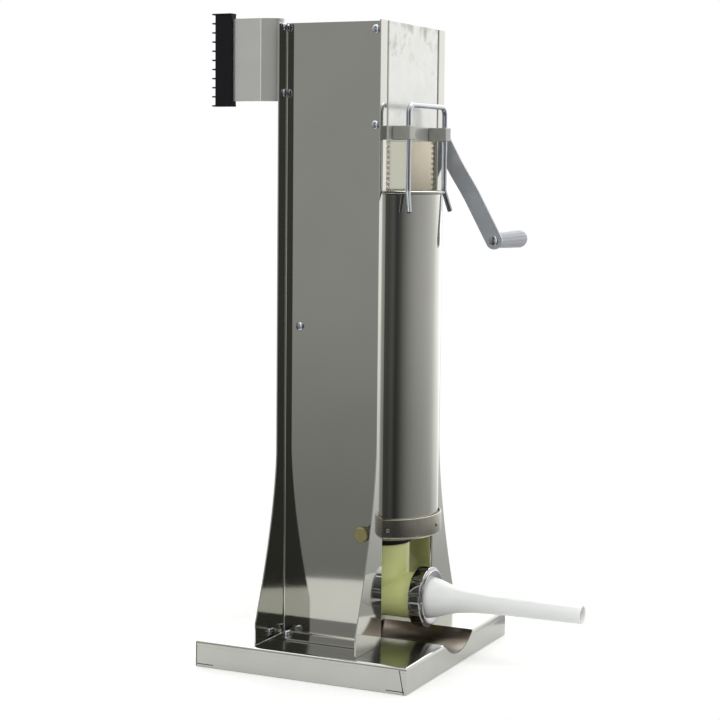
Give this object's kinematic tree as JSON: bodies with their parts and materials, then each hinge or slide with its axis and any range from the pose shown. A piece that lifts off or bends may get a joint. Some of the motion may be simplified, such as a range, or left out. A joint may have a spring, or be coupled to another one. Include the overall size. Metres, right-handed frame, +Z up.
{
  "type": "sausage stuffer",
  "caption": "Vertical sausage stuffer: folded sheet tower on a tray base, cylinder, crank-driven rack and piston, outlet elbow with nozzle, wire bail and rear feet.",
  "frame": {"origin": "bottom centre of the whole object's box, on the table that the base stands on", "axes": "+Z up along the cylinder; -Y is the front, where the nozzle points; +X is the crank's side"},
  "size_m": [0.3396, 0.4242, 0.7428],
  "materials": {
    "polished_sheet": "mirror-polished stainless steel sheet",
    "satin_sheet": "satin stainless steel",
    "pale_sheet": "pale matt stainless steel sheet",
    "zinc_steel": "bright zinc-plated steel",
    "chrome": "bright chrome plate",
    "machined_steel": "machined steel",
    "rack_steel": "milled steel bar",
    "brass": "dull knurled brass",
    "rubber": "black moulded rubber",
    "yellow_plastic": "yellow-green moulded plastic",
    "white_plastic": "milky white moulded plastic",
    "grey_plastic": "light grey fluted plastic"
  },
  "bodies": {
    "tower": {"left_side_panel": "polished_sheet", "right_side_panel": "polished_sheet", "cylinder_tube": "polished_sheet", "top_plate": "polished_sheet", "base_tray": "satin_sheet", "drip_trough": "satin_sheet", "cylinder_cradle": "satin_sheet", "guide_block_left": "satin_sheet", "guide_block_right": "satin_sheet", "rear_bracket_left": "satin_sheet", "rear_bracket_right": "satin_sheet", "front_cover": "pale_sheet", "rear_stop_rod": "zinc_steel", "stop_rod_screw_left": "zinc_steel", "stop_rod_screw_right": "zinc_steel", "cover_screw_left_lower": "zinc_steel", "cover_screw_left_upper": "zinc_steel", "cover_screw_right_lower": "zinc_steel", "cover_screw_right_upper": "zinc_steel", "bracket_screw_left_lower": "zinc_steel", "bracket_screw_left_upper": "zinc_steel", "bracket_screw_right_lower": "zinc_steel", "bracket_screw_right_upper": "zinc_steel", "foot_bolt_left_front": "zinc_steel", "foot_bolt_left_rear": "zinc_steel", "foot_bolt_right_front": "zinc_steel", "foot_bolt_right_rear": "zinc_steel", "foot_nut_left_front": "zinc_steel", "foot_nut_left_rear": "zinc_steel", "foot_nut_right_front": "zinc_steel", "foot_nut_right_rear": "zinc_steel", "cradle_rivet_left": "machined_steel", "cradle_rivet_front": "machined_steel", "cradle_rivet_right": "machined_steel", "shaft_bush_left": "machined_steel", "shaft_bush_right": "machined_steel", "outlet_gasket": "rubber", "rear_foot_left": "rubber", "rear_foot_right": "rubber", "outlet_elbow": "yellow_plastic", "nozzle": "white_plastic", "rack_guide": "white_plastic"},
    "bail": {"retaining_bail": "zinc_steel"},
    "outlet_nut": {"ring_nut": "chrome"},
    "left_thumb": {"thumb_screw_left": "brass"},
    "right_thumb": {"thumb_screw_right": "brass"},
    "piston": {"piston_disc": "white_plastic", "piston_seal": "rubber", "piston_bolt": "zinc_steel", "toothed_rack": "rack_steel"},
    "crank": {"crank_shaft": "machined_steel", "pinion": "machined_steel", "crank_arm": "zinc_steel", "hub_nut": "zinc_steel", "grip_spindle": "zinc_steel"},
    "grip": {"crank_grip": "grey_plastic"}
  },
  "joints": [
    {"name": "rack_slide", "type": "slide", "parent": "tower", "child": "piston", "axis": [0, 0, 1], "range_m": [0, 0.398]},
    {"name": "crank_turn", "type": "hinge", "parent": "tower", "child": "crank", "pos_m": [-0.01975, 0.0219, 0.633], "axis": [1, 0, 0], "range_deg": [0, 1629.5]},
    {"name": "grip_spin", "type": "hinge", "parent": "crank", "child": "grip", "pos_m": [0.08325, -0.0594, 0.48633], "axis": [1, 0, 0], "continuous": true},
    {"name": "bail_slide", "type": "slide", "parent": "tower", "child": "bail", "axis": [0, 0, 1], "range_m": [-0.012, 0.055]},
    {"name": "nut_turn", "type": "hinge", "parent": "tower", "child": "outlet_nut", "pos_m": [-0.01975, -0.0301, 0.0745], "axis": [0, -1, 0], "range_deg": [0, 720]},
    {"name": "thumb_turn_left", "type": "hinge", "parent": "tower", "child": "left_thumb", "pos_m": [-0.09175, 0.0185, 0.1605], "axis": [-1, 0, 0], "range_deg": [0, 720]},
    {"name": "thumb_turn_right", "type": "hinge", "parent": "tower", "child": "right_thumb", "pos_m": [0.05225, 0.0185, 0.1605], "axis": [1, 0, 0], "range_deg": [0, 720]}
  ],
  "couplings": [
    {"joint": "crank_turn", "follows": "rack_slide", "rad_per_m": 71.429}
  ]
}
